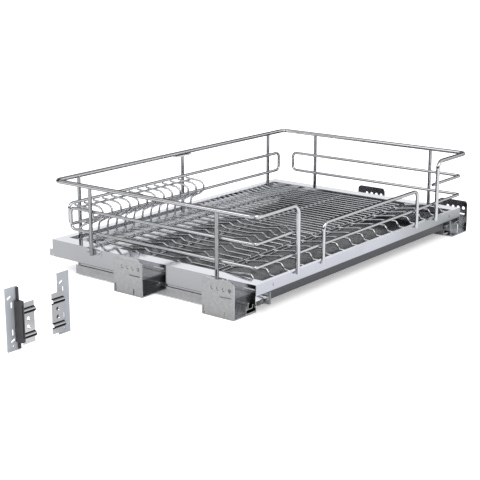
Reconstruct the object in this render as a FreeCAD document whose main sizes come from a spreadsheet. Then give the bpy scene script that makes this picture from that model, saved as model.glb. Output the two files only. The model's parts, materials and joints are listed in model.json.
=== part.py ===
import FreeCAD, Part
import math
import os
import re
import Sketcher

# Kitchen cabinet dish rack: a wire tray that pulls out of a base cabinet on two
# undermount slides, with a loose pair of door-panel brackets beside it.
# Millimetres, +X right along the front, +Y to the back of the cabinet, +Z up.
# The origin is on the cabinet floor, under the middle of the tray.

SIZES = (
    ("tray_width", 700, "tray frame, over the outer faces of the side webs"),
    ("tray_depth", 480, "tray frame, front face to back face"),
    ("tray_base", 24, "underside of the tray above the cabinet floor"),
    ("frame_height", 33, "side and back webs"),
    ("frame_sheet", 1.2, "sheet of the tray frame"),
    ("side_flange", 28, "top flange of a side web, inwards"),
    ("foot_flange", 53, "bottom flange of a side web, inwards"),
    ("back_flange", 16.5, "top flange of the back web, forwards"),
    ("back_foot", 45, "bottom flange of the back web, forwards"),
    ("front_flange", 8, "top flange of the front web, backwards"),
    ("front_height", 18.5, "front web"),
    ("front_slot_inset", 47, "slot in the front web, in from the side"),
    ("front_slot_width", 2, "slot in the front web"),
    ("front_slot_height", 6, "slot in the front web"),
    ("rail_dia", 8, "top rail of the fence"),
    ("rail_height", 115, "centre of the top rail above the tray"),
    ("leg_lap", 5, "front legs over the face of the front web"),
    ("rail_corner", 14, "bend at the corners of the top rail"),
    ("rail_gate", 239, "front legs of the top rail, out from the middle"),
    ("rail_leg_bend", 15, "bend from the top rail into a front leg"),
    ("post_dia", 7, "fence posts"),
    ("post_depth", 12, "foot of a post below the tray top"),
    ("side_post_front", 78, "front side post behind the front face"),
    ("side_post_back", 109, "rear side post before the back face"),
    ("fence_wire", 6, "middle and lower fence wires"),
    ("fence_middle", 68, "middle fence wire above the tray"),
    ("fence_lower", 28.5, "lower fence wire above the tray"),
    ("fence_corner", 7, "bend at the corners of the fence wires"),
    ("fence_loop_bend", 10, "bend at the rounded ends of the fence wires"),
    ("side_loop_inset", 52, "rounded end of a side wire before the back face"),
    ("back_loop_inset", 22, "rounded end of the back loop in from the side"),
    ("guard_gate", 162, "legs of the low front guard, out from the middle"),
    ("guard_height", 68.5, "centre of the low front guard above the tray"),
    ("guard_dia", 7, "low front guard"),
    ("guard_bend", 13, "bends of the low front guard"),
    ("tab_sheet", 1.5, "foot tabs of the side posts"),
    ("tab_length", 40, "foot tab along the side"),
    ("tab_height", 13, "foot tab"),
    ("tab_drop", 1, "foot tab below the tray top"),
    ("tab_screw_reach", 13.5, "screws of a foot tab from the post"),
    ("tab_screw_dia", 6, "screw heads of the foot tabs"),
    ("tab_screw_head", 1.6, "height of those screw heads"),
    ("splice_length", 48, "splice plate under the back rail"),
    ("splice_width", 8, "splice plate"),
    ("splice_sheet", 3, "splice plate"),
    ("grid_wire", 4, "plate, bowl and front wires"),
    ("grid_edge", 4, "outermost wires inside the side flanges"),
    ("grid_drop", 6, "centre of the level grid wires below the tray top"),
    ("plate_count", 14, "plate wires"),
    ("plate_end", 0.8, "last plate wire left of the middle"),
    ("step_count", 3, "steps in a plate wire"),
    ("plate_tail", 20, "level rear end of a plate wire after its last step"),
    ("step_run", 57, "level run before the first step"),
    ("step_rise", 10, "rise of a step along the wire"),
    ("step_fall", 30, "fall behind the crest of a step"),
    ("plate_crest", 1.1, "crest of a step above the tray top"),
    ("plate_trough", 3.6, "trough after a step below the tray top"),
    ("grid_bend", 3, "bends in the grid wires"),
    ("flat_wire", 3, "straight wires of the right half"),
    ("flat_count", 20, "straight wires"),
    ("flat_start", 10.2, "first straight wire right of the middle"),
    ("flat_edge", 2.1, "last straight wire inside the side flange"),
    ("outside_count", 2, "straight wires outside a back post"),
    ("bowl_rod_place", 0.8, "upper rod of the bowl rack, as a share of the slope that it hangs from"),
    ("front_count", 16, "front wires"),
    ("front_crest", 5.4, "crest of a front wire above the tray top"),
    ("front_trough", 5, "front end of a front wire below the tray top"),
    ("front_knee", 25.3, "knee of a front wire behind the front web"),
    ("front_peak", 34.3, "crest of a front wire behind the front web"),
    ("front_slope", 66.8, "middle of the slope behind the front web"),
    ("cross_rod", 5, "rods across the tray"),
    ("band_front", 112, "front rod of the middle band behind the front face"),
    ("band_gap", 20, "between the two rods of the middle band"),
    ("band_rise", 3.5, "front rod of the band above the other cross rods"),
    ("rod_middle", 200, "middle cross rod before the back face"),
    ("rod_support", 76, "cross rod under the rear of the plate wires before the back face"),
    ("rod_back", 38, "rearmost cross rod before the back face"),
    ("bowl_shift", 4.2, "bowl wires to the right of their plate wires"),
    ("bowl_nose", 36.5, "nose of the bowl wires before the rearmost rod"),
    ("bowl_slope", 25, "lower end of the nose before the rearmost rod"),
    ("bowl_heel", 8.3, "lower end of the slope before the rearmost rod"),
    ("bowl_foot_rise", 11, "upright foot of the bowl wires above the tray"),
    ("bowl_heel_rise", 26.5, "lower end of the slope above the tray"),
    ("bowl_slope_rise", 34.7, "upper end of the slope above the tray"),
    ("bowl_chin_rise", 43.4, "chin of the nose above the tray"),
    ("bowl_nose_rise", 55.6, "tip of the nose above the tray"),
    ("bowl_bend", 5, "bends in the bowl wires"),
    ("bowl_rod", 4, "rods that join the bowl wires"),
    ("slide_width", 28, "fixed rail"),
    ("slide_sheet", 1.5, "rails of the slides"),
    ("slide_length", 390, "drawer member and fixed rail"),
    ("slide_front", 21, "front end of the fixed rail behind the tray front"),
    ("outer_wall", 16.5, "outer wall of the fixed rail, from its underside"),
    ("inner_wall", 12, "inner wall of the fixed rail, from its underside"),
    ("member_gap", 0.5, "between the walls of the rails"),
    ("member_sheet", 1.2, "walls of the drawer member"),
    ("member_wall", 12, "walls of the drawer member"),
    ("member_lead", 3, "drawer member in front of the fixed rail"),
    ("member_bend", 2, "upper corners of the drawer member"),
    ("middle_inset", 4, "middle member inside the fixed rail"),
    ("middle_shortfall", 33, "middle member before the rear end of the drawer member"),
    ("middle_lead", 4, "middle member behind the front of the fixed rail"),
    ("roller_dia", 3, "rollers between the rails"),
    ("roller_gap", 0.3, "running gap above and below a roller"),
    ("roller_length", 18, "rollers"),
    ("roller_count", 12, "rollers in a cage"),
    ("roller_slot", 0.3, "gap between a roller and its slot"),
    ("cage_sheet", 1.2, "roller cages"),
    ("cage_length", 120, "roller cages"),
    ("cage_margin", 7, "end rollers from the ends of a cage"),
    ("lower_cage_front", 140, "lower cage behind the tray front"),
    ("upper_cage_front", 155, "upper cage behind the tray front"),
    ("bracket_sheet", 2, "cabinet brackets"),
    ("bracket_reach", 32, "upright outside the tray side"),
    ("bracket_length", 68, "cabinet bracket along the rail"),
    ("bracket_height", 65, "upright"),
    ("bracket_corner", 8, "rounded top corners of the upright"),
    ("front_bracket_inset", 20.6, "left front bracket behind the tray front"),
    ("rear_bracket_inset", 222.8, "left rear bracket behind the tray front"),
    ("right_bracket_shift", 21, "right brackets further forward"),
    ("hole_row_height", 49.5, "holes of the upright above the cabinet floor"),
    ("hole_row_pitch", 12.2, "holes of the upright"),
    ("hole_row_dia", 7, "holes of the upright"),
    ("hole_row_shift", 7, "middle of the holes before the middle of the upright"),
    ("side_slot_rise", 37, "middle of the level slot of the upright above the cabinet floor"),
    ("side_slot_height", 3, "level slot of the upright"),
    ("side_slot_length", 25, "level slot of the upright"),
    ("side_slot_inset", 5, "level slot from the front edge"),
    ("slit_width", 2, "slits in the foot of the upright"),
    ("rear_slit_height", 16, "slit near the rear edge"),
    ("front_slit_height", 12, "slit near the front edge"),
    ("rear_slit_inset", 5, "slit from the rear edge"),
    ("front_slit_inset", 20, "slit from the front edge"),
    ("rivet_dia", 5, "flush rivets between rail and bracket"),
    ("rivet_gap", 0.02, "between a rivet and its hole"),
    ("rivet_spread", 24, "between the two rivets of a bracket"),
    ("rivet_shift", 8, "rivets of a bracket behind its middle"),
    ("stop_gap", 0.4, "rear stop behind the closed drawer member"),
    ("stop_length", 6, "rear stop"),
    ("hook_reach", 8, "hooks behind the back web"),
    ("hook_width", 12, "hooks along the back web"),
    ("hook_height", 14, "hooks behind the back web"),
    ("clip_inset", 30, "locking clip in from the tray side"),
    ("clip_width", 18, "locking clip"),
    ("clip_front", 12, "locking clip behind the tray front"),
    ("clip_length", 48, "locking clip"),
    ("clip_depth", 13, "locking clip below the tray"),
    ("lever_width", 4, "release lever"),
    ("lever_side_gap", 1, "each side of the release lever"),
    ("lever_height", 4, "arm of the release lever"),
    ("lever_drop", 7, "pivot of the lever below the tray"),
    ("lever_pivot", 40, "pivot of the lever behind the tray front"),
    ("lever_tip", 36, "top of the finger tab above the cabinet floor"),
    ("lever_tab", 2.5, "thickness of the finger tab"),
    ("pin_dia", 3, "pivot pins of the levers"),
    ("pin_gap", 0.08, "running gap of a pivot pin"),
    ("drip_gap", 3, "drip tray between the bottom flanges"),
    ("drip_rim", 10, "rim of the drip tray"),
    ("drip_sheet", 0.8, "sheet of the drip tray"),
    ("drip_depth", 5.5, "rim above the underside of the drip tray"),
    ("drip_clear", 0.3, "rim above the bottom flanges"),
    ("drip_front", 8, "front panel of the drip tray behind the tray front"),
    ("drip_panel", 17.5, "front panel of the drip tray"),
    ("drip_panel_inset", 50, "end of the front panel in from the tray side"),
    ("plate_width", 24, "door plates"),
    ("plate_height", 100, "door plates"),
    ("plate_sheet", 2, "door plates"),
    ("left_plate_x", -693.5, "middle of the left door plate"),
    ("right_plate_x", -588.5, "middle of the right door plate"),
    ("plate_back", -41, "rear face of the door plates"),
    ("block_width", 8, "left adjuster block"),
    ("block_depth", 15.5, "left adjuster block"),
    ("block_foot", 14, "underside of the adjuster blocks"),
    ("block_height", 65, "left adjuster block"),
    ("block_corner", 2, "upright edges of the adjuster blocks"),
    ("block_shift", 7, "left adjuster block from the middle of its plate"),
    ("block_groove", 2, "groove down the front of the left block"),
    ("block_groove_depth", 1.5, "groove down the front of the left block"),
    ("block_groove_margin", 6, "groove short of the block ends"),
    ("strip_width", 4, "guide strip along the edge of the left plate"),
    ("strip_depth", 3, "guide strip along the edge of the left plate"),
    ("strip_margin", 1.5, "guide strip short of the plate ends"),
    ("rear_block_width", 7, "right adjuster block, behind its clip plate"),
    ("rear_block_height", 52, "right adjuster block"),
    ("rear_block_lap", 1.5, "right adjuster block over the edge of its plate"),
    ("clip_plate_set", 9.5, "front of a clip plate before its door plate"),
    ("clip_plate_width", 24, "clip plates"),
    ("clip_plate_height", 66, "clip plates"),
    ("clip_plate_sheet", 1.2, "clip plates"),
    ("clip_plate_foot", 8, "underside of the clip plates"),
    ("clip_bead", 4.4, "outer radius of the beads that grip the fence wires"),
    ("clip_hole_dia", 5, "holes of a clip plate"),
    ("clip_hole_sink", 1, "bevel of the holes of a clip plate"),
    ("clip_hole_pitch", 13, "holes of a clip plate"),
    ("right_clip_shift", -22, "right clip plate from the middle of its door plate"),
    ("plate_slot", 4.2, "slanted slots of a door plate"),
    ("plate_slot_narrow", 3.4, "upright slots of a door plate"),
    ("plate_slot_run", 7, "between the end centres of an upright slot"),
    ("plate_slot_side", 0.5, "upright slots left of the middle of the plate"),
    ("upper_slot_height", 72, "middle of the upper upright slot"),
    ("lower_slot_height", 29, "middle of the lower upright slot"),
    ("top_slot_height", 84.5, "middle of the upper slanted slot"),
    ("bottom_slot_height", 16, "middle of the lower slanted slot"),
    ("foot_hole_height", 7.5, "small hole at the foot of the plate"),
    ("overcut", 1, "reach of a cut past a face that it opens"),
)

document = FreeCAD.newDocument("dish_rack")
sheet = document.addObject("Spreadsheet::Sheet", "Sizes")
for row, (alias, value, note) in enumerate(SIZES, start=1):
    sheet.set(f"A{row}", alias)
    sheet.set(f"B{row}", str(value))
    sheet.setAlias(f"B{row}", alias)
    sheet.set(f"C{row}", note)
document.recompute()

X_AXIS = FreeCAD.Vector(1, 0, 0)
Y_AXIS = FreeCAD.Vector(0, 1, 0)
Z_AXIS = FreeCAD.Vector(0, 0, 1)
SIDES = (("left", -1), ("right", 1))
TOUCHING = 1e-6
PAIR = (-0.5, 0.5)
ROW_OF_FOUR = (-1.5, -0.5, 0.5, 1.5)
NODES = {}


# Derived places, as expressions of the sheet's names

HALF = "(tray_width / 2)"
FRONT = "(-tray_depth / 2)"
BACK = "(tray_depth / 2)"
TRAY_TOP = "(tray_base + frame_height)"
WEB_INSIDE = f"({HALF} - frame_sheet)"
FRONT_INSIDE = f"({FRONT} + frame_sheet)"
BACK_INSIDE = f"({BACK} - frame_sheet)"
FLANGE_EDGE = f"({HALF} - side_flange)"
FOOT_EDGE = f"({HALF} - foot_flange)"

FENCE_X = f"({HALF} + tab_sheet + post_dia / 2)"
FENCE_BACK = f"({BACK} - back_flange - post_dia / 2)"
FENCE_FRONT = f"({FRONT} - rail_dia / 2)"
LEG_FOOT = f"({TRAY_TOP} - leg_lap)"
RAIL_Z = f"({TRAY_TOP} + rail_height)"
MIDDLE_Z = f"({TRAY_TOP} + fence_middle)"
LOWER_Z = f"({TRAY_TOP} + fence_lower)"
WIRE_X = f"({FENCE_X} - post_dia / 2 - fence_wire / 2)"
WIRE_FRONT = f"({FENCE_FRONT} + rail_dia / 2 + fence_wire / 2)"
WIRE_BACK = f"({FENCE_BACK} - post_dia / 2 - fence_wire / 2)"
GUARD_Y = f"({WIRE_FRONT} - fence_wire / 2 - guard_dia / 2)"
SIDE_POST_FRONT = f"({FRONT} + side_post_front)"
SIDE_POST_BACK = f"({BACK} - side_post_back)"

GRID_Z = f"({TRAY_TOP} - grid_drop)"
ROD_Z = f"({GRID_Z} - grid_wire / 2 - cross_rod / 2)"
BAND_FRONT_Y = f"({FRONT} + band_front)"
BAND_BACK_Y = f"({BAND_FRONT_Y} + band_gap)"
BAND_FRONT_Z = f"({ROD_Z} + band_rise)"
REAR_ROD_Y = f"({BACK} - rod_back)"
FLAT_END = f"({FLANGE_EDGE} - flat_edge)"
FLAT_PITCH = f"(({FLAT_END} - flat_start) / (flat_count - 1))"
BACK_POST_X = f"({FLAT_END} - (outside_count - 1 / 2) * {FLAT_PITCH})"

RAIL_BASE = "bracket_sheet"
RAIL_FLOOR = "(bracket_sheet + slide_sheet)"
ROLLER_ROOM = "(roller_dia + 2 * roller_gap)"
MIDDLE_LOW = f"({RAIL_FLOOR} + {ROLLER_ROOM})"
MEMBER_ROOF = "(tray_base - slide_sheet)"
MIDDLE_HIGH = f"({MEMBER_ROOF} - {ROLLER_ROOM})"
RAIL_FRONT = f"({FRONT} + slide_front)"
RAIL_BACK = f"({RAIL_FRONT} + slide_length + stop_gap + member_sheet + stop_length)"
MEMBER_FRONT = f"({RAIL_FRONT} - member_lead)"
MEMBER_BACK = f"({MEMBER_FRONT} + slide_length)"
MIDDLE_FRONT = f"({RAIL_FRONT} + middle_lead)"
MIDDLE_BACK = f"({MEMBER_BACK} - middle_shortfall)"
SLIDE_MIDDLE = f"({HALF} - slide_width / 2)"
UPRIGHT_OUTSIDE = f"({HALF} + bracket_reach)"

CLIP_OUTER = f"({HALF} - clip_inset)"
CLIP_MIDDLE = f"({CLIP_OUTER} - clip_width / 2)"
LEVER_Z = "(tray_base - lever_drop)"
LEVER_Y = f"({FRONT} + lever_pivot)"
DRIP_HALF = f"({FOOT_EDGE} - drip_gap)"
DRIP_RIM_LOW = "(tray_base + frame_sheet + drip_clear)"
DRIP_LOW = f"({DRIP_RIM_LOW} - drip_depth)"
DRIP_BACK = f"({BACK_INSIDE} - back_foot - drip_gap)"


def words(expression):
    """Refer each plain name of an expression to its cell of the sheet."""
    return re.sub(r"[a-z_]+", lambda name: f"Sizes.{name.group(0)}", str(expression))


def size(expression):
    """Give the value of an expression of the sheet's names."""
    return float(sheet.evalExpression(words(expression)))


def place(x, y, z):
    """Give the vector that three expressions make."""
    return FreeCAD.Vector(size(x), size(y), size(z))


def keep(label, piece):
    """Name a finished sub-part."""
    piece.Label = label
    NODES[label] = piece
    return piece


# Sketched sheet metal and moulded pieces

PLANE_NORMALS = {"XY_Plane": 1, "XZ_Plane": -1, "YZ_Plane": 1}


def new_sketch(body, plane, middle):
    """Put a sketch on a plane of its body, moved along the normal to a middle plane."""
    sketch = body.newObject("Sketcher::SketchObject", f"{body.Name}_outline")
    base = [item for item in body.Origin.OriginFeatures if item.Role == plane][0]
    sketch.AttachmentSupport = (base, "")
    sketch.MapMode = "FlatFace"
    offset = words(f"{PLANE_NORMALS[plane]} * ({middle})")
    sketch.setExpression("AttachmentOffset.Base.z", offset)
    return sketch


def pin_point(sketch, geometry, vertex, across, along):
    """Tie one vertex of a sketch to two expressions."""
    for kind, expression in (("DistanceX", across), ("DistanceY", along)):
        rule = Sketcher.Constraint(kind, -1, 1, geometry, vertex, size(expression))
        number = sketch.addConstraint(rule)
        sketch.setExpression(f"Constraints[{number}]", words(expression))


def draw_outline(sketch, corners):
    """Draw a closed outline of straight edges through tied corners."""
    first = sketch.GeometryCount
    count = len(corners)
    points = [FreeCAD.Vector(size(across), size(along), 0) for across, along in corners]
    for index, point in enumerate(points):
        sketch.addGeometry(Part.LineSegment(point, points[(index + 1) % count]), False)
    for index in range(count):
        follower = first + (index + 1) % count
        sketch.addConstraint(Sketcher.Constraint("Coincident", first + index, 2, follower, 1))
    for index, (across, along) in enumerate(corners):
        pin_point(sketch, first + index, 1, across, along)


def draw_circle(sketch, across, along, diameter):
    """Draw a circle whose centre and radius are tied."""
    centre = FreeCAD.Vector(size(across), size(along), 0)
    circle = Part.Circle(centre, Z_AXIS, size(diameter) / 2)
    geometry = sketch.addGeometry(circle, False)
    pin_point(sketch, geometry, 3, across, along)
    rule = Sketcher.Constraint("Radius", geometry, size(diameter) / 2)
    number = sketch.addConstraint(rule)
    sketch.setExpression(f"Constraints[{number}]", words(f"({diameter}) / 2"))


def draw_slot(sketch, start, end, width):
    """Draw a round-ended slot between two tied centres."""
    radius = size(width) / 2
    ends = [FreeCAD.Vector(size(across), size(along), 0) for across, along in (start, end)]
    way = (ends[1] - ends[0]).normalize()
    side = FreeCAD.Vector(-way.y, way.x, 0)
    turn = math.atan2(way.y, way.x)
    half = math.pi / 2
    circles = [Part.Circle(centre, Z_AXIS, radius) for centre in ends]
    arc_start = sketch.addGeometry(Part.ArcOfCircle(circles[0], turn + half, turn + 3 * half), False)
    arc_end = sketch.addGeometry(Part.ArcOfCircle(circles[1], turn - half, turn + half), False)
    left = Part.LineSegment(ends[0] + side * radius, ends[1] + side * radius)
    right = Part.LineSegment(ends[0] - side * radius, ends[1] - side * radius)
    left_edge = sketch.addGeometry(left, False)
    right_edge = sketch.addGeometry(right, False)
    meets = (
        (arc_start, 1, left_edge, 1),
        (arc_start, 2, right_edge, 1),
        (arc_end, 1, right_edge, 2),
        (arc_end, 2, left_edge, 2),
    )
    for meet in meets:
        sketch.addConstraint(Sketcher.Constraint("Tangent", *meet))
    sketch.addConstraint(Sketcher.Constraint("Equal", arc_start, arc_end))
    pin_point(sketch, arc_start, 3, *start)
    pin_point(sketch, arc_end, 3, *end)
    number = sketch.addConstraint(Sketcher.Constraint("Radius", arc_start, radius))
    sketch.setExpression(f"Constraints[{number}]", words(f"({width}) / 2"))


def new_body(name):
    return document.addObject("PartDesign::Body", name)


def pad(body, plane, low, high, *drawn):
    """Add material between two levels along a plane's normal."""
    sketch = new_sketch(body, plane, f"({low} + {high}) / 2")
    for item in drawn:
        if callable(item):
            item(sketch)
        else:
            draw_outline(sketch, item)
    feature = body.newObject("PartDesign::Pad", f"{body.Name}_pad")
    feature.Profile = sketch
    feature.SideType = "Symmetric"
    feature.setExpression("Length", words(f"{high} - ({low})"))
    document.recompute()
    return feature


def cut(body, plane, low, high, draw):
    """Remove what a sketch drawn by a function covers, between two levels."""
    before = body.Shape.Volume
    sketch = new_sketch(body, plane, f"({low} + {high}) / 2")
    draw(sketch)
    feature = body.newObject("PartDesign::Pocket", f"{body.Name}_cut")
    feature.Profile = sketch
    feature.SideType = "Symmetric"
    feature.setExpression("Length", words(f"{high} - ({low})"))
    document.recompute()
    if body.Shape.Volume >= before:
        raise RuntimeError(f"{body.Name}: a cut removes nothing")
    return feature


def round_edges(body, chosen, radius):
    """Round the edges of a body that a test picks."""
    base = body.Tip
    names = [f"Edge{n}" for n, edge in enumerate(base.Shape.Edges, start=1) if chosen(edge)]
    feature = body.newObject("PartDesign::Fillet", f"{body.Name}_round")
    feature.Base = (base, names)
    feature.setExpression("Radius", words(radius))
    document.recompute()
    return feature


def break_edges(body, chosen, width):
    """Bevel the edges of a body that a test picks."""
    base = body.Tip
    names = [f"Edge{n}" for n, edge in enumerate(base.Shape.Edges, start=1) if chosen(edge)]
    feature = body.newObject("PartDesign::Chamfer", f"{body.Name}_bevel")
    feature.Base = (base, names)
    feature.setExpression("Size", words(width))
    document.recompute()
    return feature


def runs_straight(edge):
    return edge.Curve.TypeId == "Part::GeomLine"


def lies_at(edge, depth):
    """Tell whether an edge lies in the XZ plane at a depth."""
    box = edge.BoundBox
    return abs(box.YMin - depth) < TOUCHING and abs(box.YMax - depth) < TOUCHING


def runs_along(edge, axis):
    """Tell whether an edge is straight and parallel to an axis."""
    if len(edge.Vertexes) != 2:
        return False
    way = edge.Vertexes[1].Point - edge.Vertexes[0].Point
    return abs(abs(way.normalize().dot(axis)) - 1) < TOUCHING


def box_corners(low_across, high_across, low_along, high_along):
    return (
        (low_across, low_along),
        (high_across, low_along),
        (high_across, high_along),
        (low_across, high_along),
    )


def sided(side, corners):
    """Mirror the corners of an outline to one side of the middle plane."""
    return tuple((f"{side} * ({across})", along) for across, along in corners)


# Round stock

def cylinder(name, diameter, length, base, axis):
    """Make a tied cylinder that starts at a base point and runs along an axis."""
    stock = document.addObject("Part::Cylinder", name)
    stock.setExpression("Radius", words(f"({diameter}) / 2"))
    stock.setExpression("Height", words(length))
    stock.Placement = FreeCAD.Placement(FreeCAD.Vector(), FreeCAD.Rotation(Z_AXIS, axis))
    for letter, expression in zip("xyz", base):
        stock.setExpression(f"Placement.Base.{letter}", words(expression))
    return stock


def group(label, pieces):
    """Gather alike separate solids in one sub-part."""
    bundle = document.addObject("Part::Compound", f"{label}_group")
    bundle.Links = pieces
    return keep(label, bundle)


def bent_wire(points, diameter, bends):
    """Sweep round stock along straight runs joined by tangent arcs."""
    edges = []
    here = points[0]
    for index in range(1, len(points) - 1):
        corner = points[index]
        back = (points[index - 1] - corner).normalize()
        ahead = (points[index + 1] - corner).normalize()
        half_angle = back.getAngle(ahead) / 2
        bend = bends[index - 1] if isinstance(bends, (list, tuple)) else bends
        inward = (back + ahead).normalize()
        start = corner + back * (bend / math.tan(half_angle))
        end = corner + ahead * (bend / math.tan(half_angle))
        top = corner + inward * (bend / math.sin(half_angle) - bend)
        edges.append(Part.LineSegment(here, start).toShape())
        edges.append(Part.Arc(start, top, end).toShape())
        here = end
    edges.append(Part.LineSegment(here, points[-1]).toShape())
    section = Part.Circle(points[0], points[1] - points[0], diameter / 2).toShape()
    return Part.Wire(edges).makePipeShell([Part.Wire([section])], True, False)


def formed(label, shapes):
    """Keep one or several swept shapes as a sub-part."""
    piece = document.addObject("Part::Feature", f"{label}_form")
    piece.Shape = shapes[0] if len(shapes) == 1 else Part.makeCompound(shapes)
    piece.Placement = FreeCAD.Placement()
    return keep(label, piece)


def spread(first, last, count):
    """Give evenly spaced values from first to last."""
    return [first + (last - first) * index / (count - 1) for index in range(count)]


# Tray frame

def make_side_web(name, side):
    """Side web with a top flange and a wide bottom flange, both inwards."""
    body = new_body(f"frame_{name}_body")
    outline = (
        (HALF, "tray_base"),
        (HALF, TRAY_TOP),
        (FLANGE_EDGE, TRAY_TOP),
        (FLANGE_EDGE, f"{TRAY_TOP} - frame_sheet"),
        (WEB_INSIDE, f"{TRAY_TOP} - frame_sheet"),
        (WEB_INSIDE, "tray_base + frame_sheet"),
        (FOOT_EDGE, "tray_base + frame_sheet"),
        (FOOT_EDGE, "tray_base"),
    )
    pad(body, "XZ_Plane", FRONT_INSIDE, BACK_INSIDE, sided(side, outline))
    front_end = f"{FRONT} + drip_front + drip_sheet * 2"
    foot = box_corners(f"{FOOT_EDGE} - overcut", WEB_INSIDE, FRONT, front_end)
    cut(body, "XY_Plane", "tray_base - overcut", "tray_base + frame_sheet + overcut",
        lambda sketch: draw_outline(sketch, sided(side, foot)))
    keep(f"frame_{name}", body)


def make_front_web():
    """Front web over the whole width, its narrow top flange between the side flanges."""
    body = new_body("frame_front_body")
    web = box_corners(f"-{HALF}", HALF, f"{TRAY_TOP} - front_height", TRAY_TOP)
    pad(body, "XZ_Plane", FRONT, FRONT_INSIDE, web)
    flange = box_corners(f"-{FLANGE_EDGE}", FLANGE_EDGE, f"{TRAY_TOP} - frame_sheet", TRAY_TOP)
    pad(body, "XZ_Plane", FRONT_INSIDE, f"({FRONT} + front_flange)", flange)

    def slots(sketch):
        for name, side in SIDES:
            middle = f"{side} * ({HALF} - front_slot_inset)"
            height = f"{TRAY_TOP} - front_height / 2 - front_slot_height / 2"
            slot = box_corners(f"{middle} - front_slot_width / 2", f"{middle} + front_slot_width / 2",
                               height, f"{height} + front_slot_height")
            draw_outline(sketch, slot)

    cut(body, "XZ_Plane", f"({FRONT} - overcut)", f"({FRONT_INSIDE} + overcut)", slots)
    keep("frame_front", body)


def make_back_web():
    """Back web over the whole width, with a top and a bottom flange forwards."""
    body = new_body("frame_back_body")
    web = box_corners(f"-{HALF}", HALF, "tray_base", TRAY_TOP)
    pad(body, "XZ_Plane", BACK_INSIDE, BACK, web)
    flange = box_corners(f"-{FLANGE_EDGE}", FLANGE_EDGE, f"{TRAY_TOP} - frame_sheet", TRAY_TOP)
    pad(body, "XZ_Plane", f"({BACK} - back_flange)", BACK_INSIDE, flange)
    foot = box_corners(f"-{FOOT_EDGE}", FOOT_EDGE, "tray_base", "tray_base + frame_sheet")
    pad(body, "XZ_Plane", f"({BACK_INSIDE} - back_foot)", BACK_INSIDE, foot)
    keep("frame_back", body)


def make_rear_hooks():
    """Small angle plates that stand behind the two rear corners."""
    pieces = []
    for name, side in SIDES:
        body = new_body(f"rear_hook_{name}")
        outline = (
            (HALF, BACK),
            (HALF, f"{BACK} + hook_reach"),
            (f"{HALF} - tab_sheet", f"{BACK} + hook_reach"),
            (f"{HALF} - tab_sheet", f"{BACK} + tab_sheet"),
            (f"{HALF} - hook_width", f"{BACK} + tab_sheet"),
            (f"{HALF} - hook_width", BACK),
        )
        pad(body, "XY_Plane", "tray_base", "(tray_base + hook_height)", sided(side, outline))
        pieces.append(body)
    group("rear_hooks", pieces)


# Fence

def make_top_rail():
    """One rail round the sides and back, bent down into two front legs."""
    route = (
        ("-rail_gate", FENCE_FRONT, LEG_FOOT),
        ("-rail_gate", FENCE_FRONT, RAIL_Z),
        (f"-{FENCE_X}", FENCE_FRONT, RAIL_Z),
        (f"-{FENCE_X}", FENCE_BACK, RAIL_Z),
        (FENCE_X, FENCE_BACK, RAIL_Z),
        (FENCE_X, FENCE_FRONT, RAIL_Z),
        ("rail_gate", FENCE_FRONT, RAIL_Z),
        ("rail_gate", FENCE_FRONT, LEG_FOOT),
    )
    corner = size("rail_corner")
    leg = size("rail_leg_bend")
    bends = (leg, corner, corner, corner, corner, leg)
    formed("top_rail", [bent_wire([place(*point) for point in route], size("rail_dia"), bends)])


def make_front_guard():
    """Low guard in the middle of the front."""
    height = f"{TRAY_TOP} + guard_height"
    route = (
        ("-guard_gate", GUARD_Y, LEG_FOOT),
        ("-guard_gate", GUARD_Y, height),
        ("guard_gate", GUARD_Y, height),
        ("guard_gate", GUARD_Y, LEG_FOOT),
    )
    points = [place(*point) for point in route]
    formed("front_guard", [bent_wire(points, size("guard_dia"), size("guard_bend"))])


def make_side_wire():
    """One wire: middle height on both sides, lower height round both sides and the front."""
    loop = f"{BACK} - side_loop_inset"
    overrun = "fence_wire"
    left_half = (
        (f"-rail_gate + {overrun}", WIRE_FRONT, MIDDLE_Z),
        (f"-{WIRE_X}", WIRE_FRONT, MIDDLE_Z),
        (f"-{WIRE_X}", loop, MIDDLE_Z),
        (f"-{WIRE_X}", loop, LOWER_Z),
        (f"-{WIRE_X}", WIRE_FRONT, LOWER_Z),
    )
    right_half = tuple((f"-({x})", y, z) for x, y, z in reversed(left_half))
    points = [place(*point) for point in left_half + right_half]
    corner = size("fence_corner")
    end = size("fence_loop_bend")
    bends = (corner, end, end, corner, corner, end, end, corner)
    formed("side_wire", [bent_wire(points, size("fence_wire"), bends)])


def make_back_loop():
    """Closed rounded rectangle inside the back posts."""
    half = f"({HALF} - back_loop_inset)"
    bend = size("fence_loop_bend")
    corners = [
        place(0, WIRE_BACK, MIDDLE_Z),
        place(half, WIRE_BACK, MIDDLE_Z),
        place(half, WIRE_BACK, LOWER_Z),
        place(f"-{half}", WIRE_BACK, LOWER_Z),
        place(f"-{half}", WIRE_BACK, MIDDLE_Z),
        place(0, WIRE_BACK, MIDDLE_Z),
    ]
    right = [corners[0], corners[1], corners[2], place(0, WIRE_BACK, LOWER_Z)]
    left = [place(0, WIRE_BACK, LOWER_Z), corners[3], corners[4], corners[5]]
    halves = [bent_wire(points, size("fence_wire"), bend) for points in (right, left)]
    formed("back_loop", [halves[0].fuse(halves[1]).removeSplitter()])


def make_post(name, x, y, top, rail_axis):
    """Upright post whose top is coped to the rail that it carries."""
    foot = f"{TRAY_TOP} - post_depth"
    post = cylinder(f"{name}_bar", "post_dia", f"{top} - ({foot})", (x, y, foot), Z_AXIS)
    if rail_axis is None:
        return post
    reach = "post_dia * 2"
    start = (f"{x} - post_dia", y, RAIL_Z) if rail_axis == X_AXIS else (x, f"{y} - post_dia", RAIL_Z)
    saddle = cylinder(f"{name}_saddle", "rail_dia + rivet_gap", reach, start, rail_axis)
    coped = document.addObject("Part::Cut", name)
    coped.Base = post
    coped.Tool = saddle
    return coped


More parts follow.
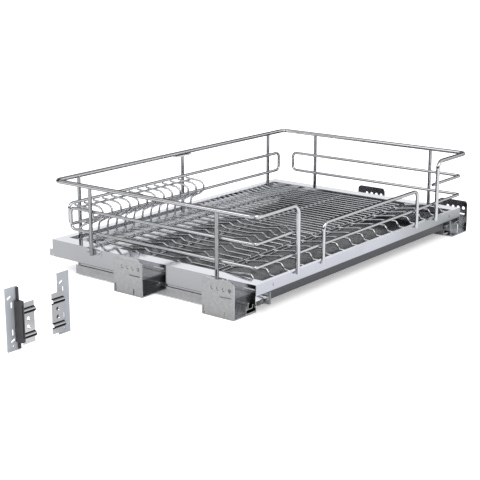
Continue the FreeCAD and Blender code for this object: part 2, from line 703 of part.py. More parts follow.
def make_posts():
    side_posts = []
    for name, side in SIDES:
        for place_name, y in (("front", SIDE_POST_FRONT), ("back", SIDE_POST_BACK)):
            x = f"{side} * {FENCE_X}"
            top = f"({RAIL_Z} - rail_dia / 4)"
            side_posts.append(make_post(f"side_post_{name}_{place_name}", x, y, top, Y_AXIS))
    group("side_posts", side_posts)
    splice_top = f"({RAIL_Z} - rail_dia / 2)"
    back_posts = [make_post("back_post_middle", "0", FENCE_BACK, f"({splice_top} - splice_sheet)", None)]
    for name, side in SIDES:
        top = f"({RAIL_Z} - rail_dia / 4)"
        x = f"{side} * {BACK_POST_X}"
        back_posts.append(make_post(f"back_post_{name}", x, FENCE_BACK, top, X_AXIS))
    group("back_posts", back_posts)
    splice = new_body("rail_splice_body")
    outline = box_corners("-splice_length / 2", "splice_length / 2",
                          f"{FENCE_BACK} - splice_width / 2", f"{FENCE_BACK} + splice_width / 2")
    pad(splice, "XY_Plane", f"({splice_top} - splice_sheet)", splice_top, outline)
    keep("rail_splice", splice)


def make_post_tabs():
    """Foot tabs of the side posts, each with a screw before and behind the post."""
    tabs = []
    screws = []
    for name, side in SIDES:
        for place_name, y in (("front", SIDE_POST_FRONT), ("back", SIDE_POST_BACK)):
            tab = new_body(f"post_tab_{name}_{place_name}")
            top = f"({TRAY_TOP} - tab_drop)"
            outline = box_corners(f"{y} - tab_length / 2", f"{y} + tab_length / 2",
                                  f"{top} - tab_height", top)
            levels = sorted((f"{side} * {HALF}", f"{side} * ({HALF} + tab_sheet)"), key=size)
            pad(tab, "YZ_Plane", levels[0], levels[1], outline)
            round_edges(tab, lambda edge: runs_along(edge, X_AXIS), "tab_sheet * 2")
            tabs.append(tab)
            for step in (-1, 1):
                base = (f"{side} * ({HALF} + tab_sheet)", f"{y} + {step} * tab_screw_reach",
                        f"{top} - tab_height / 2")
                label = f"post_screw_{name}_{place_name}_{'front' if step < 0 else 'back'}"
                head = cylinder(label, "tab_screw_dia", "tab_screw_head", base, X_AXIS * side)
                screws.append(head)
    group("post_tabs", tabs)
    group("post_screws", screws)


# Wire grid

def make_plate_wires():
    """Stepped wires of the left half, on the band at the front and a rod at the back."""
    start = size(f"{BAND_BACK_Y} - grid_wire")
    end = size(f"{REAR_ROD_Y} + cross_rod / 2")
    level = size(GRID_Z)
    low = size(f"{TRAY_TOP} - plate_trough")
    crest = size(f"{TRAY_TOP} + plate_crest")
    run, rise, fall = size("step_run"), size("step_rise"), size("step_fall")
    steps = int(size("step_count"))
    last_foot = end - size("plate_tail") - fall - rise
    profile = [(start, level)]
    for index, foot in enumerate(spread(start + run, last_foot, steps)):
        profile.append((foot, low if index else level))
        profile.append((foot + rise, crest))
        profile.append((foot + rise + fall, low if index + 1 < steps else level))
    profile.append((end, level))
    first = -size(f"{FLANGE_EDGE} - grid_edge")
    wires = []
    for x in spread(first, -size("plate_end"), int(size("plate_count"))):
        points = [FreeCAD.Vector(x, y, z) for y, z in profile]
        wires.append(bent_wire(points, size("grid_wire"), size("grid_bend")))
    formed("plate_wires", wires)


def make_flat_wires():
    """Straight wires of the right half, turned up under the back flange."""
    level = size(f"{ROD_Z} + cross_rod / 2 + flat_wire / 2")
    under_flange = size(f"{TRAY_TOP} - frame_sheet - flat_wire / 2")
    rise_start = size(f"{REAR_ROD_Y} + cross_rod")
    rise_end = size(f"{BACK} - back_flange + flat_wire")
    profile = (
        (size(f"{BAND_BACK_Y} - grid_wire"), level),
        (rise_start, level),
        (rise_end, under_flange),
        (rise_end + size("flat_wire * 2"), under_flange),
    )
    wires = []
    for x in spread(size("flat_start"), size(FLAT_END), int(size("flat_count"))):
        points = [FreeCAD.Vector(x, y, z) for y, z in profile]
        wires.append(bent_wire(points, size("flat_wire"), size("grid_bend")))
    formed("flat_wires", wires)


def make_front_wires():
    """Short wires between the middle band and the front web, humped before the front."""
    top = size(TRAY_TOP)
    web = size(FRONT_INSIDE)
    band = size(BAND_FRONT_Y)
    on_band = size(f"{BAND_FRONT_Z} + cross_rod / 2 + grid_wire / 2")
    low = top - size("front_trough")
    crest = top + size("front_crest")
    profile = (
        (band + size("cross_rod / 2"), on_band),
        (band - size("cross_rod * 2"), on_band),
        (web + size("front_slope"), (on_band + 2 * crest) / 3),
        (web + size("front_peak"), crest),
        (web + size("front_knee"), low),
        (web, low),
    )
    last = size(f"{FLANGE_EDGE} - grid_edge")
    wires = []
    for x in spread(-last, last, int(size("front_count"))):
        points = [FreeCAD.Vector(x, y, z) for y, z in profile]
        wires.append(bent_wire(points, size("grid_wire"), size("grid_bend")))
    formed("front_wires", wires)


def make_cross_rods():
    """Rods across the tray, each end against a side web."""
    length = f"2 * {WEB_INSIDE}"
    rods = []
    rows = (("middle", f"{BACK} - rod_middle"), ("support", f"{BACK} - rod_support"), ("back", REAR_ROD_Y))
    for name, y in rows:
        rods.append(cylinder(f"cross_rod_{name}", "cross_rod", length, (f"-{WEB_INSIDE}", y, ROD_Z), X_AXIS))
    group("cross_rods", rods)
    band = []
    for name, y, z in (("front", BAND_FRONT_Y, BAND_FRONT_Z), ("back", BAND_BACK_Y, ROD_Z)):
        band.append(cylinder(f"band_rod_{name}", "cross_rod", length, (f"-{WEB_INSIDE}", y, z), X_AXIS))
    group("band_rods", band)


def make_bowl_rack():
    """Bowl wires that stand on the rearmost rod and hang from the back loop."""
    foot = "bowl_foot_rise"
    heel = "bowl_heel_rise"
    route = (
        (REAR_ROD_Y, f"{ROD_Z} + cross_rod / 2"),
        (REAR_ROD_Y, f"{TRAY_TOP} + {foot}"),
        (f"{REAR_ROD_Y} - bowl_heel / 4", f"{TRAY_TOP} + {foot} + ({heel} - {foot}) * 2 / 3"),
        (f"{REAR_ROD_Y} - bowl_heel", f"{TRAY_TOP} + {heel}"),
        (f"{REAR_ROD_Y} - bowl_slope", f"{TRAY_TOP} + bowl_slope_rise"),
        (f"{REAR_ROD_Y} - bowl_nose + bowl_rod / 4", f"{TRAY_TOP} + bowl_chin_rise"),
        (f"{REAR_ROD_Y} - bowl_nose", f"{TRAY_TOP} + bowl_nose_rise"),
        (f"{REAR_ROD_Y} - bowl_nose * 2 / 3", f"{TRAY_TOP} + bowl_nose_rise + bowl_rod * 4 / 3"),
        (WIRE_BACK, f"{MIDDLE_Z} - fence_wire / 2 - grid_wire / 2"),
    )
    profile = [(size(y), size(z)) for y, z in route]
    first = -size(f"{FLANGE_EDGE} - grid_edge") + size("bowl_shift")
    last = -size("plate_end") + size("bowl_shift")
    wires = []
    for x in spread(first, last, int(size("plate_count"))):
        points = [FreeCAD.Vector(x, y, z) for y, z in profile]
        wires.append(bent_wire(points, size("grid_wire"), size("bowl_bend")))
    formed("bowl_wires", wires)

    reach = size("grid_wire / 2 + bowl_rod / 2")
    slope_low = FreeCAD.Vector(0, *profile[3])
    slope_high = FreeCAD.Vector(0, *profile[4])
    along = (slope_high - slope_low).normalize()
    above = FreeCAD.Vector(0, -along.z, along.y)
    if above.z < 0:
        above = above * -1
    on_slope = (slope_low + slope_high) * 0.5 + above * reach
    roof_start = FreeCAD.Vector(0, *profile[7])
    roof_end = FreeCAD.Vector(0, *profile[8])
    roof = (roof_end - roof_start).normalize()
    below = FreeCAD.Vector(0, roof.z, -roof.y)
    place_on_roof = (roof_end - roof_start).Length * size("bowl_rod_place")
    under_roof = roof_start + roof * place_on_roof + below * reach
    overhang = size("grid_wire")
    rods = []
    for point in (on_slope, under_roof):
        start = FreeCAD.Vector(first - overhang, point.y, point.z)
        length = last - first + 2 * overhang
        rods.append(Part.makeCylinder(size("bowl_rod / 2"), length, start, X_AXIS))
    formed("bowl_rods", rods)


# Slides

def slide_x(side, inward):
    """Give the X expression of a place inwards from the tray side."""
    return f"{side} * ({HALF} - ({inward}))"


def slide_outline(side, corners):
    """Turn corners given inwards from the tray side into X and Z."""
    return tuple((slide_x(side, inward), height) for inward, height in corners)


def bracket_rivets(bracket_front):
    """Give the Y expressions of the two rivets of a bracket."""
    middle = f"({bracket_front} + bracket_length / 2 + rivet_shift)"
    return (f"{middle} - rivet_spread / 2", f"{middle} + rivet_spread / 2")


def bracket_fronts(side):
    """Give the front edges of the two brackets on one side, by name."""
    shift = "right_bracket_shift" if side > 0 else "0"
    return (
        ("front", f"({FRONT} + front_bracket_inset - {shift})"),
        ("rear", f"({FRONT} + rear_bracket_inset - {shift})"),
    )


def make_fixed_rail(name, side):
    """Channel on the brackets, its outer wall higher than its inner one."""
    body = new_body(f"fixed_rail_{name}_body")
    outline = (
        ("0", RAIL_BASE),
        ("0", f"{RAIL_BASE} + outer_wall"),
        ("slide_sheet", f"{RAIL_BASE} + outer_wall"),
        ("slide_sheet", RAIL_FLOOR),
        ("slide_width - slide_sheet", RAIL_FLOOR),
        ("slide_width - slide_sheet", f"{RAIL_BASE} + inner_wall"),
        ("slide_width", f"{RAIL_BASE} + inner_wall"),
        ("slide_width", RAIL_BASE),
    )
    pad(body, "XZ_Plane", RAIL_FRONT, RAIL_BACK, slide_outline(side, outline))

    def rivet_holes(sketch):
        for bracket, front in bracket_fronts(side):
            for y in bracket_rivets(front):
                draw_circle(sketch, f"{side} * {SLIDE_MIDDLE}", y, "rivet_dia + 2 * rivet_gap")

    cut(body, "XY_Plane", "0", MIDDLE_LOW, rivet_holes)
    keep(f"fixed_rail_{name}", body)


def make_rear_stops():
    """Blocks at the rear of the fixed rails that the drawer members come against."""
    pieces = []
    for name, side in SIDES:
        body = new_body(f"rear_stop_{name}")
        inner = "slide_width - slide_sheet - member_gap"
        outline = (
            ("slide_sheet + member_gap", RAIL_FLOOR),
            ("slide_sheet + member_gap", "tray_base - member_gap"),
            (inner, "tray_base - member_gap"),
            (inner, RAIL_FLOOR),
        )
        front = f"({MEMBER_BACK} + stop_gap)"
        pad(body, "XZ_Plane", front, f"({front} + stop_length)", slide_outline(side, outline))
        pieces.append(body)
    group("rear_stops", pieces)


def make_middle_member(name, side):
    """Box-section member that runs between the rails."""
    body = new_body(f"middle_member_{name}_body")
    inner = "slide_width - middle_inset"
    outline = (
        ("middle_inset", MIDDLE_LOW),
        ("middle_inset", MIDDLE_HIGH),
        (inner, MIDDLE_HIGH),
        (inner, MIDDLE_LOW),
    )
    bore = (
        ("middle_inset + slide_sheet", f"{MIDDLE_LOW} + slide_sheet"),
        ("middle_inset + slide_sheet", f"{MIDDLE_HIGH} - slide_sheet"),
        (f"{inner} - slide_sheet", f"{MIDDLE_HIGH} - slide_sheet"),
        (f"{inner} - slide_sheet", f"{MIDDLE_LOW} + slide_sheet"),
    )
    pad(body, "XZ_Plane", MIDDLE_FRONT, MIDDLE_BACK,
        slide_outline(side, outline), slide_outline(side, bore))
    keep(f"middle_member_{name}", body)


def make_drawer_member(name, side):
    """Inverted channel under the tray's bottom flange."""
    body = new_body(f"drawer_member_{name}_body")
    outer = "slide_sheet + member_gap"
    inner = "slide_width - slide_sheet - member_gap"
    low = "tray_base - member_wall"
    outline = (
        (outer, low),
        (outer, "tray_base"),
        (inner, "tray_base"),
        (inner, low),
        (f"{inner} - member_sheet", low),
        (f"{inner} - member_sheet", MEMBER_ROOF),
        (f"{outer} + member_sheet", MEMBER_ROOF),
        (f"{outer} + member_sheet", low),
    )
    pad(body, "XZ_Plane", MEMBER_FRONT, MEMBER_BACK, slide_outline(side, outline))
    top = size("tray_base")
    round_edges(body, lambda edge: runs_along(edge, Y_AXIS) and edge.BoundBox.ZMin > top - TOUCHING,
                "member_bend")
    keep(f"drawer_member_{name}", body)


def make_cage(name, side, level_name, floor, front):
    """Roller cage: a flat strip with a slot for each roller, and its rollers."""
    body = new_body(f"{level_name}_cage_{name}_body")
    middle_z = f"({floor} + roller_gap + roller_dia / 2)"
    half_width = "(roller_length / 2 + roller_slot + cage_sheet)"
    middle_x = f"{side} * {SLIDE_MIDDLE}"
    strip = box_corners(f"{middle_x} - {half_width}", f"{middle_x} + {half_width}",
                        front, f"{front} + cage_length")
    pad(body, "XY_Plane", f"({middle_z} - cage_sheet / 2)", f"({middle_z} + cage_sheet / 2)", strip)
    pitch = "((cage_length - 2 * cage_margin) / (roller_count - 1))"
    half_slot = "(roller_length / 2 + roller_slot)"
    half_gap = "(roller_dia / 2 + roller_slot)"
    places = [f"({front} + cage_margin + {index} * {pitch})" for index in range(int(size("roller_count")))]

    def slots(sketch):
        for y in places:
            slot = box_corners(f"{middle_x} - {half_slot}", f"{middle_x} + {half_slot}",
                               f"{y} - {half_gap}", f"{y} + {half_gap}")
            draw_outline(sketch, slot)

    cut(body, "XY_Plane", f"({middle_z} - cage_sheet)", f"({middle_z} + cage_sheet)", slots)
    keep(f"{level_name}_cage_{name}", body)
    rollers = []
    for index, y in enumerate(places):
        base = (f"{middle_x} - roller_length / 2", y, middle_z)
        label = f"{level_name}_roller_{name}_{index}"
        rollers.append(cylinder(label, "roller_dia", "roller_length", base, X_AXIS))
    group(f"{level_name}_rollers_{name}", rollers)


# Cabinet brackets

def make_bracket(name, side, place_name, front):
    """Angle bracket: a foot under the rail and an upright for the cabinet side."""
    body = new_body(f"bracket_{place_name}_{name}_body")
    outside = UPRIGHT_OUTSIDE
    inside = f"({UPRIGHT_OUTSIDE} - bracket_sheet)"
    toe = f"({HALF} - slide_width)"
    back = f"({front} + bracket_length)"
    outline = (
        (toe, "0"),
        (outside, "0"),
        (outside, "bracket_height"),
        (inside, "bracket_height"),
        (inside, "bracket_sheet"),
        (toe, "bracket_sheet"),
    )
    pad(body, "XZ_Plane", front, back, sided(side, outline))
    top = size("bracket_height")
    round_edges(body, lambda edge: runs_along(edge, X_AXIS) and edge.BoundBox.ZMin > top - TOUCHING,
                "bracket_corner")
    levels = sorted((f"{side} * ({outside} + bracket_sheet)", f"{side} * ({inside} - bracket_sheet)"),
                    key=size)

    def row_and_slits(sketch):
        middle = f"({front} + bracket_length / 2 - hole_row_shift)"
        for step in ROW_OF_FOUR:
            draw_circle(sketch, f"{middle} + {step} * hole_row_pitch", "hole_row_height", "hole_row_dia")
        for y, height in ((f"({back} - rear_slit_inset)", "rear_slit_height"),
                          (f"({front} + front_slit_inset)", "front_slit_height")):
            slit = box_corners(f"{y} - slit_width / 2", f"{y} + slit_width / 2", "bracket_sheet", height)
            draw_outline(sketch, slit)
        slot_front = f"{front} + side_slot_inset + side_slot_height / 2"
        draw_slot(sketch, (slot_front, "side_slot_rise"),
                  (f"{slot_front} + side_slot_length - side_slot_height", "side_slot_rise"),
                  "side_slot_height")

    cut(body, "YZ_Plane", levels[0], levels[1], row_and_slits)

    def rivet_holes(sketch):
        for y in bracket_rivets(front):
            draw_circle(sketch, f"{side} * {SLIDE_MIDDLE}", y, "rivet_dia + 2 * rivet_gap")

    cut(body, "XY_Plane", "(-bracket_sheet)", "(2 * bracket_sheet)", rivet_holes)
    keep(f"cabinet_bracket_{place_name}_{name}", body)


def make_rivets():
    """Flush rivets through the bracket feet and the fixed rails."""
    rivets = []
    for name, side in SIDES:
        for place_name, front in bracket_fronts(side):
            for index, y in enumerate(bracket_rivets(front)):
                base = (f"{side} * {SLIDE_MIDDLE}", y, "0")
                label = f"rivet_{name}_{place_name}_{index}"
                rivets.append(cylinder(label, "rivet_dia", RAIL_FLOOR, base, Z_AXIS))
    group("rail_rivets", rivets)


# Locking clips and release levers

def make_lock_clip(name, side):
    """Moulded clip under the tray front, slotted for its lever."""
    body = new_body(f"lock_clip_{name}_body")
    front = f"({FRONT} + clip_front)"
    back = f"({front} + clip_length)"
    inner = f"({CLIP_OUTER} - clip_width)"
    low = "(tray_base - clip_depth)"
    outline = (
        (f"{front} + clip_depth / 2", low),
        (back, low),
        (back, "tray_base"),
        (front, "tray_base"),
        (front, f"{low} + clip_depth / 2"),
    )
    levels = sorted((f"{side} * {CLIP_OUTER}", f"{side} * {inner}"), key=size)
    pad(body, "YZ_Plane", levels[0], levels[1], outline)
    half_slot = "(lever_width / 2 + lever_side_gap)"
    slot = box_corners(f"{side} * {CLIP_MIDDLE} - {half_slot}", f"{side} * {CLIP_MIDDLE} + {half_slot}",
                       f"{front} - overcut", f"{LEVER_Y} + lever_height * 2")
    cut(body, "XY_Plane", f"({low} - overcut)", "(tray_base - frame_sheet)",
        lambda sketch: draw_outline(sketch, slot))
    cut(body, "YZ_Plane", levels[0], levels[1],
        lambda sketch: draw_circle(sketch, LEVER_Y, LEVER_Z, "pin_dia + 2 * rivet_gap"))
    keep(f"lock_clip_{name}", body)


def make_lever(name, side):
    """Release lever: an arm on its pivot pin and a finger tab under the front web."""
    body = new_body(f"release_lever_{name}_body")
    tip = f"({FRONT})"
    low = f"({LEVER_Z} - lever_height / 2)"
    high = f"({LEVER_Z} + lever_height / 2)"
    outline = (
        (tip, low),
        (f"{LEVER_Y} + lever_height", low),
        (f"{LEVER_Y} + lever_height", high),
        (f"{tip} + lever_tab + lever_height", high),
        (f"{tip} + lever_tab", f"{high} + lever_height"),
        (f"{tip} + lever_tab", "lever_tip"),
        (tip, "lever_tip"),
    )
    middle = f"{side} * {CLIP_MIDDLE}"
    low_x = f"({middle} - lever_width / 2)"
    high_x = f"({middle} + lever_width / 2)"
    pad(body, "YZ_Plane", low_x, high_x, outline)
    cut(body, "YZ_Plane", f"({low_x} - overcut)", f"({high_x} + overcut)",
        lambda sketch: draw_circle(sketch, LEVER_Y, LEVER_Z, "pin_dia + 2 * pin_gap"))
    keep(f"release_lever_{name}", body)


def make_lever_pins():
    pins = []
    for name, side in SIDES:
        start = (f"{side} * {CLIP_MIDDLE} - clip_width / 2", LEVER_Y, LEVER_Z)
        pins.append(cylinder(f"lever_pin_{name}", "pin_dia", "clip_width", start, X_AXIS))
    group("lever_pins", pins)


# Drip tray

def make_drip_tray():
    """Shallow tray that hangs by its rims on the bottom flanges, with a front panel."""
    body = new_body("drip_tray_body")
    front = f"({FRONT} + drip_front)"
    panel_back = f"({front} + drip_sheet)"
    rim_top = f"({DRIP_RIM_LOW} + drip_sheet)"
    outside = box_corners(f"-{DRIP_HALF}", DRIP_HALF, panel_back, DRIP_BACK)
    pad(body, "XY_Plane", DRIP_LOW, rim_top, outside)
    rim_front = f"({panel_back} + drip_sheet)"
    rim = box_corners(f"-({DRIP_HALF} + drip_rim)", f"{DRIP_HALF} + drip_rim",
                      rim_front, f"{DRIP_BACK} + drip_rim")
    pad(body, "XY_Plane", DRIP_RIM_LOW, rim_top, rim)
    inside = box_corners(f"-({DRIP_HALF} - drip_sheet)", f"{DRIP_HALF} - drip_sheet",
                         panel_back, f"{DRIP_BACK} - drip_sheet")
    cut(body, "XY_Plane", f"({DRIP_LOW} + drip_sheet)", f"({rim_top} + overcut)",
        lambda sketch: draw_outline(sketch, inside))
    panel_half = f"({HALF} - drip_panel_inset)"
    panel = box_corners(f"-{panel_half}", panel_half, DRIP_LOW, f"{DRIP_LOW} + drip_panel")
    pad(body, "XZ_Plane", front, panel_back, panel)
    keep("drip_tray", body)


# Door-panel brackets

def make_door_plate(name, middle):
    """Flat plate with slots for the screws that hold it to a door panel."""
    body = new_body(f"door_plate_{name}_body")
    front = "(plate_back - plate_sheet)"
    outline = box_corners(f"{middle} - plate_width / 2", f"{middle} + plate_width / 2", "0", "plate_height")
    pad(body, "XZ_Plane", front, "plate_back", outline)

    def slots(sketch):
        line = f"({middle} - plate_slot_side)"
        for height in ("upper_slot_height", "lower_slot_height"):
            draw_slot(sketch, (line, f"{height} - plate_slot_run / 2"),
                      (line, f"{height} + plate_slot_run / 2"), "plate_slot_narrow")
        for start, height in ((f"{line} - plate_slot * 3 / 2", "top_slot_height"),
                              (f"{line} - plate_slot / 2", "bottom_slot_height")):
            draw_slot(sketch, (start, f"{height} - plate_slot / 4"),
                      (f"{start} + plate_slot", f"{height} + plate_slot / 4"), "plate_slot")
        draw_circle(sketch, line, "foot_hole_height", "plate_slot_narrow")

    cut(body, "XZ_Plane", f"({front} - overcut)", "(plate_back + overcut)", slots)
    keep(f"door_plate_{name}", body)


def make_left_block():
    """Moulded block on the left door plate, with a guide strip along the edge of the plate."""
    body = new_body("adjuster_block_left_body")
    back = "(plate_back - plate_sheet)"
    front = f"({back} - block_depth)"
    middle = "(left_plate_x + block_shift)"
    block = box_corners(f"{middle} - block_width / 2", f"{middle} + block_width / 2",
                        "block_foot", "block_foot + block_height")
    pad(body, "XZ_Plane", front, back, block)
    round_edges(body, lambda edge: runs_along(edge, Z_AXIS), "block_corner")
    groove = box_corners(f"{middle} - block_groove / 2", f"{middle} + block_groove / 2",
                         "block_foot + block_groove_margin",
                         "block_foot + block_height - block_groove_margin")
    cut(body, "XZ_Plane", f"({front} - overcut)", f"({front} + block_groove_depth)",
        lambda sketch: draw_outline(sketch, groove))
    strip_right = "left_plate_x + plate_width / 2"
    strip = box_corners(f"{strip_right} - strip_width", strip_right,
                        "strip_margin", "plate_height - strip_margin")
    pad(body, "XZ_Plane", f"({back} - strip_depth)", back, strip)
    keep("adjuster_block_left", body)


def make_right_block():
    """Moulded block between the right door plate and its clip plate."""
    body = new_body("adjuster_block_right_body")
    back = "(plate_back - plate_sheet)"
    right = "(right_plate_x - plate_width / 2 + rear_block_lap)"
    block = box_corners(f"{right} - rear_block_width", right,
                        "block_foot", "block_foot + rear_block_height")
    pad(body, "XZ_Plane", f"({back} - clip_plate_set + clip_plate_sheet)", back, block)
    round_edges(body, lambda edge: runs_along(edge, Z_AXIS), "rear_block_lap / 2")
    keep("adjuster_block_right", body)


def make_clip_plate(name, middle):
    """Sheet with two beads that grip the fence wires and two bevelled screw holes."""
    body = new_body(f"clip_plate_{name}_body")
    foot = "clip_plate_foot"
    top = "(clip_plate_foot + clip_plate_height)"
    front = "(plate_back - plate_sheet - clip_plate_set)"
    back = f"({front} + clip_plate_sheet)"
    centre = f"(({foot} + {top}) / 2)"
    bead_pitch = "(fence_middle - fence_lower)"
    levels = (f"({middle} - clip_plate_width / 2)", f"({middle} + clip_plate_width / 2)")
    past = (f"({levels[0]} - overcut)", f"({levels[1]} + overcut)")
    beads = [f"({centre} + {step} * {bead_pitch})" for step in PAIR]

    pad(body, "YZ_Plane", levels[0], levels[1], box_corners(front, back, foot, top))
    for height in beads:
        pad(body, "YZ_Plane", levels[0], levels[1],
            lambda sketch: draw_circle(sketch, front, height, "clip_bead * 2"))
    behind = box_corners(back, f"({back} + clip_bead * 2)", foot, top)
    cut(body, "YZ_Plane", past[0], past[1], lambda sketch: draw_outline(sketch, behind))
    for height in beads:
        cut(body, "YZ_Plane", past[0], past[1],
            lambda sketch: draw_circle(sketch, front, height, "(clip_bead - clip_plate_sheet) * 2"))

    def holes(sketch):
        for step in PAIR:
            draw_circle(sketch, middle, f"{centre} + {step} * clip_hole_pitch", "clip_hole_dia")

    cut(body, "XZ_Plane", f"({front} - overcut)", f"({back} + overcut)", holes)
    face = size(front)
    break_edges(body, lambda edge: lies_at(edge, face) and not runs_straight(edge), "clip_hole_sink")
    keep(f"clip_plate_{name}", body)


def make_door_brackets():
    make_door_plate("left", "left_plate_x")
    make_door_plate("right", "right_plate_x")
    make_left_block()
    make_right_block()
    make_clip_plate("left", "(left_plate_x + block_shift + block_width / 2 + clip_plate_width / 2)")
    make_clip_plate("right", "(right_plate_x + right_clip_shift)")


def build():
    for name, side in SIDES:
        make_side_web(name, side)
    make_front_web()
    make_back_web()
    make_rear_hooks()
    make_top_rail()
    make_front_guard()
    make_side_wire()
    make_back_loop()
    make_posts()
    make_post_tabs()
    make_plate_wires()
    make_flat_wires()
    make_front_wires()
    make_cross_rods()
    make_bowl_rack()
    for name, side in SIDES:
        make_fixed_rail(name, side)
        make_middle_member(name, side)
        make_drawer_member(name, side)
        make_cage(name, side, "lower", RAIL_FLOOR, f"({FRONT} + lower_cage_front)")
        make_cage(name, side, "upper", MIDDLE_HIGH, f"({FRONT} + upper_cage_front)")
        for place_name, front in bracket_fronts(side):
            make_bracket(name, side, place_name, front)
        make_lock_clip(name, side)
        make_lever(name, side)
    make_rear_stops()
    make_rivets()
    make_lever_pins()
    make_drip_tray()
    make_door_brackets()
    document.recompute()


def check():
    """Stop if any object failed or any sub-part has no sound shape."""
    for item in document.Objects:
        if "Invalid" in item.State or "Error" in item.State:
            raise RuntimeError(f"{item.Label}: {item.State}")
    for label, piece in NODES.items():
        if piece.Shape.isNull() or not piece.Shape.isValid() or not piece.Shape.Solids:
            raise RuntimeError(f"{label}: no sound solid")


def export():
    os.makedirs("parts", exist_ok=True)
    for label, piece in NODES.items():
        piece.Shape.exportStep(os.path.join("parts", f"{label}.step"))
        print(label, len(piece.Shape.Solids), round(piece.Shape.Volume, 1))


build()
check()
export()
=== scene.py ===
import json
import math

import bpy
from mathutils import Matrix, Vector

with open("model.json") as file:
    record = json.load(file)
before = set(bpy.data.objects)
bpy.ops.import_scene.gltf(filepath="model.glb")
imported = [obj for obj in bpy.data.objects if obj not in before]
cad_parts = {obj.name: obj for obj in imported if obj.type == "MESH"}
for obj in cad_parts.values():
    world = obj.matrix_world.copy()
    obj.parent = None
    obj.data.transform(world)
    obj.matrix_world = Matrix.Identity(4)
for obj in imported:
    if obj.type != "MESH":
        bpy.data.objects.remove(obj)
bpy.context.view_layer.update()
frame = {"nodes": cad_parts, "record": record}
nodes = frame["nodes"]

X_AXIS = (1, 0, 0)
Y_AXIS = (0, 1, 0)
Z_AXIS = (0, 0, 1)
WHITE = (1, 1, 1)

# Camera at the photograph's viewing angle, in metres and degrees, with lens and sensor in millimetres

CAMERA_PLACE = (-1.7815, -1.3332, 0.6115)
CAMERA_HEADING = 51.94
CAMERA_DIP = 14.78
CAMERA_LENS = 86.985
CAMERA_SENSOR = 36.0
CAMERA_SHIFT = (-0.0054, -0.0033)
CAMERA_REACH = 60.0

# Level directions by which the studio is laid out: into the picture and to its right

INWARD = (math.sin(math.radians(CAMERA_HEADING)), math.cos(math.radians(CAMERA_HEADING)), 0)
RIGHTWARD = (math.cos(math.radians(CAMERA_HEADING)), -math.sin(math.radians(CAMERA_HEADING)), 0)

# Floor, in metres. Only the mirror images of the floor show its dark tone and its dark patches

FLOOR_SIZE = 30.0
FLOOR_DROP = 0.0002
FLOOR_COLOUR = (0.93, 0.93, 0.935)
FLOOR_ROUGHNESS = 0.9
FLOOR_GLOW = 0.35
FLOOR_DARK = (0.04, 0.04, 0.045)
FLOOR_DARK_SHARE = 0.42
CORNER_INWARD = (-0.44, -0.48)
CORNER_RIGHTWARD = (-0.07, 0.03)
CORNER_SOFT = 0.02
BEHIND_INWARD = (0.42, 0.50)
RIGHT_X = (0.40, 0.75)
RIGHT_Y = (-0.34, -0.28)
RIGHT_SOFT = 0.03
LEFT_X = (-0.60, -0.36)
LEFT_Y = (-0.34, -0.30)
LEFT_SOFT = 0.02
LEFT_SHARE = 0.35

# Windows of the studio, by how far a direction of length 1 reaches, and brightness where not 1

WORLD_LIGHT = 1.40
FRONT_HEIGHT = (0.38, 0.70)
FRONT_HEIGHT_SOFT = 0.05
FRONT_INWARD = (0.25, 0.05)
FRONT_TONE = 0.85
SIDE_HEIGHT = (-0.05, 0.52)
SIDE_HEIGHT_SOFT = 0.04
SIDE_RIGHTWARD = (0.66, 0.76)
SIDE_TONE = 0.70
BACK_HEIGHT = (0.18, 0.38)
BACK_HEIGHT_SOFT = 0.03
BACK_INWARD = (0.70, 2.0)
BACK_INWARD_SOFT = 0.10
CEILING_HEIGHT = (0.58, 0.68)
CEILING_TONE = 0.28
WALL_TONE = 0.03

# Lamps with their places in metres and their power in watts

LAMP_SIZE = 1.6
LAMPS = (("key", (-1.2, -2.2, 2.6), 20), ("fill", (-2.6, 1.2, 1.8), 8))

# Grain of the materials, as scales of noise textures

NOISE_DETAIL = 4.0
NOISE_MIDDLE = (0.3, 0.7)
SHEET_CLOUD = 14.0
ZINC_MOTTLE = 170.0
METAL_GRAIN = 260.0
PLASTIC_GRAIN = 900.0
PLASTIC_CLOUD = 30.0
PLASTIC_BUMP = 0.3
PLASTIC_BUMP_HEIGHT = 0.0001
ROUGHNESS_SPREAD = 0.2

# Painted reflections as tones by face and by place on the part, in metres, and the metal share of the
# satin plates

# Tones of level and upright tray faces, which paint in reflections
TRAY_FLAT = (0.74, 0.76, 0.81)
TRAY_UPRIGHT = (0.84, 0.85, 0.88)
# Painted reflection: the front web fades to grey towards its right end
WEB_REFLECTION_FADE_X = (0.02, 0.24)
WEB_REFLECTION_FADE_COLOUR = (0.50, 0.52, 0.53)
BEAD_MIDDLES = (0.02125, 0.06075)
# Painted reflection: dark bands on each bead of the clip plates
BEAD_REFLECTION_BANDS = ((-0.0048, 0.0009), (0.0037, 0.0052))
BEAD_SOFT = 0.0002
BEAD_REFLECTION_COLOUR = (0.015, 0.015, 0.017)
# Painted reflection: the rear rim of the drip tray and the bottom flange of the back web turn pale and
# dull
REAR_RIM_Y = (0.186, 0.189)
BACK_FOOT_Z = (0.0292, 0.0262)
PALE_REFLECTION_COLOUR = (0.90, 0.91, 0.93)
SATIN_METAL_SHARE = 0.25


